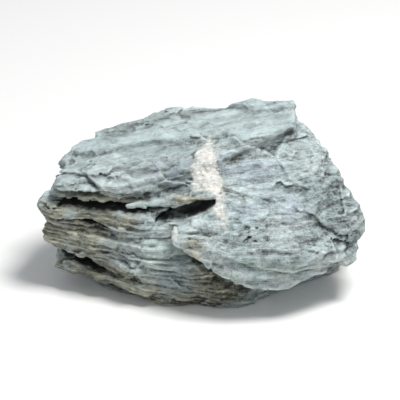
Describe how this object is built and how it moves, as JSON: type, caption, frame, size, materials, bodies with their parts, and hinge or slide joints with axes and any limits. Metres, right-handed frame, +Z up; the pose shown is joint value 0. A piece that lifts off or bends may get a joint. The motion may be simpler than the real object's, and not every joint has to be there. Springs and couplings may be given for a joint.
{
  "type": "seiryu stone",
  "caption": "Rugged grey limestone rock for an aquarium or garden scene, split along its beds, with open fissures and a pale calcite vein.",
  "frame": {"origin": "under the middle of the stone, in the plane of the flat face it rests on", "axes": "+Z up; +X along the beds, to the stone's higher end; -Y out of the face with the fissures and the vein"},
  "size_m": [0.1692, 0.118, 0.0818],
  "materials": {
    "stone": "matte, rough natural rock"
  },
  "bodies": {
    "root": {"stone": "stone"}
  },
  "joints": []
}
